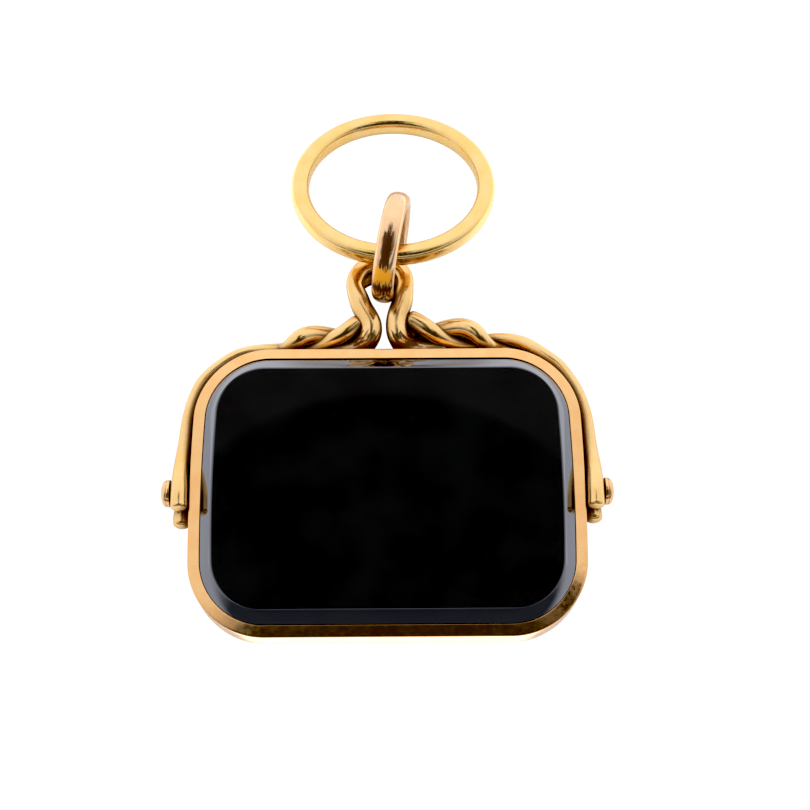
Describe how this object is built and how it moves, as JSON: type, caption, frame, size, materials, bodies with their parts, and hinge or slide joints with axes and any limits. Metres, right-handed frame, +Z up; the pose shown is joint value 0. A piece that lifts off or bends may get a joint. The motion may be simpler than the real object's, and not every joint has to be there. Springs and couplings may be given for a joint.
{
  "type": "swivel seal fob pendant",
  "caption": "Swivel seal fob pendant: a bevelled dark stone in a gold bezel that spins on pins between the arms of a knotted wire yoke, with a jump link and a hanging ring.",
  "frame": {"origin": "centre of the stone's back table, on the surface that the pendant lies on, straight below the swivel axis", "axes": "+Z up from the surface, +Y from the swivel axis towards the hanging ring, +X to the right along the swivel axis"},
  "size_m": [0.0322, 0.0422, 0.0083],
  "materials": {
    "stone": "polished",
    "bezel_gold": "polished",
    "yoke_gold": "polished, slightly worn",
    "pin_gold": "polished",
    "link_gold": "polished, slightly worn",
    "ring_gold": "polished"
  },
  "bodies": {
    "yoke": {"yoke": "yoke_gold", "jump_link": "link_gold", "hanging_ring": "ring_gold"},
    "seal": {"bezel": "bezel_gold", "stone": "stone", "pivot_pin_left": "pin_gold", "pivot_pin_right": "pin_gold"}
  },
  "joints": [
    {"name": "seal_swivel", "type": "hinge", "parent": "yoke", "child": "seal", "pos_m": [0, 0, 0.0021], "axis": [1, 0, 0], "continuous": true}
  ]
}
